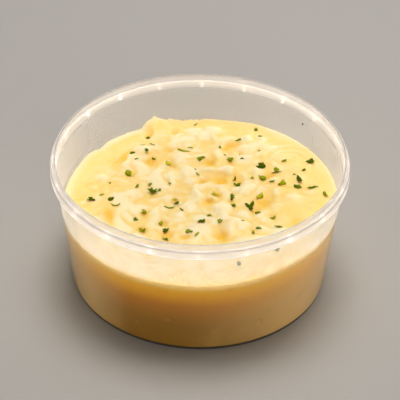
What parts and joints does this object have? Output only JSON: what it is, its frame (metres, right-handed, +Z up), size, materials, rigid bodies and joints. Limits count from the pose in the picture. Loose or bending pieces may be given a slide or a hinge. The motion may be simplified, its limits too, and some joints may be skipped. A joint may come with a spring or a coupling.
{
  "type": "tub of mashed potato",
  "caption": "Side of mashed potato in a round, tapered takeaway tub of translucent plastic with a flanged rim, lid off.",
  "frame": {"origin": "centre of the tub's foot, on the surface that it stands on", "axes": "+Z up along the tub's axis of symmetry; -Y is the side that faces the viewer"},
  "size_m": [0.118, 0.118, 0.0567],
  "materials": {
    "tub": "translucent, semi-gloss",
    "mash": "moist, soft",
    "parsley": "matt leaf"
  },
  "bodies": {
    "root": {"tub": "tub", "mash": "mash"}
  },
  "joints": []
}
